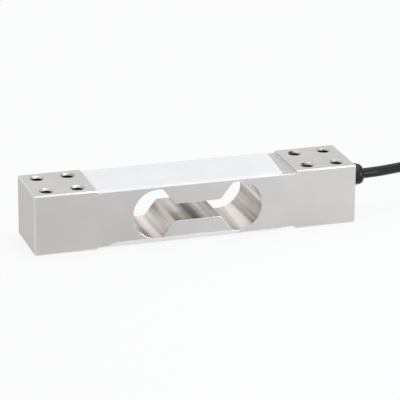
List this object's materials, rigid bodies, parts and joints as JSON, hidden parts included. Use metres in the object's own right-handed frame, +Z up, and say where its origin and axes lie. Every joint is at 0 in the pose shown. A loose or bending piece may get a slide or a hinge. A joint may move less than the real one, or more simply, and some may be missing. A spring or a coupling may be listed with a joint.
{
  "type": "single point load cell",
  "caption": "Aluminium single point load cell: bar with a binocular cut-out, sealed gauge recesses, tapped end pads and a cable in a gland.",
  "frame": {"origin": "middle of the beam's underside, on the plane of the lower pads", "axes": "+X along the beam towards the cable gland, +Y to the back, +Z up"},
  "size_m": [0.3746, 0.038, 0.0275],
  "materials": {
    "beam": "clear anodised, fine milled",
    "sealant": "cured white silicone",
    "gland_plastic": "moulded black nylon",
    "gland_washer": "soft black sealing washer",
    "gland_seal": "soft black sealing bush",
    "jacket": "extruded black jacket, semi-matt",
    "tie_plastic": "moulded black nylon",
    "sleeve": "shrunk black sleeve",
    "wire_red": "extruded insulation",
    "wire_black": "extruded insulation",
    "wire_green": "extruded insulation",
    "wire_white": "extruded insulation",
    "shield": "tinned copper braid, twisted",
    "copper": "tinned copper strand",
    "core_insulation": "extruded insulation",
    "gauge_foil": "etched foil on amber film",
    "terminal": "tinned copper on glass laminate",
    "link_enamel": "enamelled copper",
    "board": "glass laminate with solder mask",
    "resistor": "ceramic chip, coated"
  },
  "bodies": {
    "root": {"beam": "beam", "top_sealant": "sealant", "bottom_sealant": "sealant", "gland_cap_nut": "gland_plastic", "gland_body": "gland_plastic", "gland_washer": "gland_washer", "gland_seal": "gland_seal", "cable_run": "jacket", "cable_hank": "jacket", "cable_tail": "jacket", "hank_ties": "tie_plastic", "end_sleeve": "sleeve", "lead_red": "wire_red", "lead_black": "wire_black", "lead_green": "wire_green", "lead_white": "wire_white", "lead_shield": "shield", "lead_tips": "copper", "cable_cores": "core_insulation", "gauge_top_left": "gauge_foil", "gauge_top_right": "gauge_foil", "gauge_bottom_left": "gauge_foil", "gauge_bottom_right": "gauge_foil", "terminal_top": "terminal", "terminal_bottom": "terminal", "link_wires_top": "link_enamel", "link_wires_bottom": "link_enamel", "trim_board": "board", "trim_resistors": "resistor"}
  },
  "joints": []
}
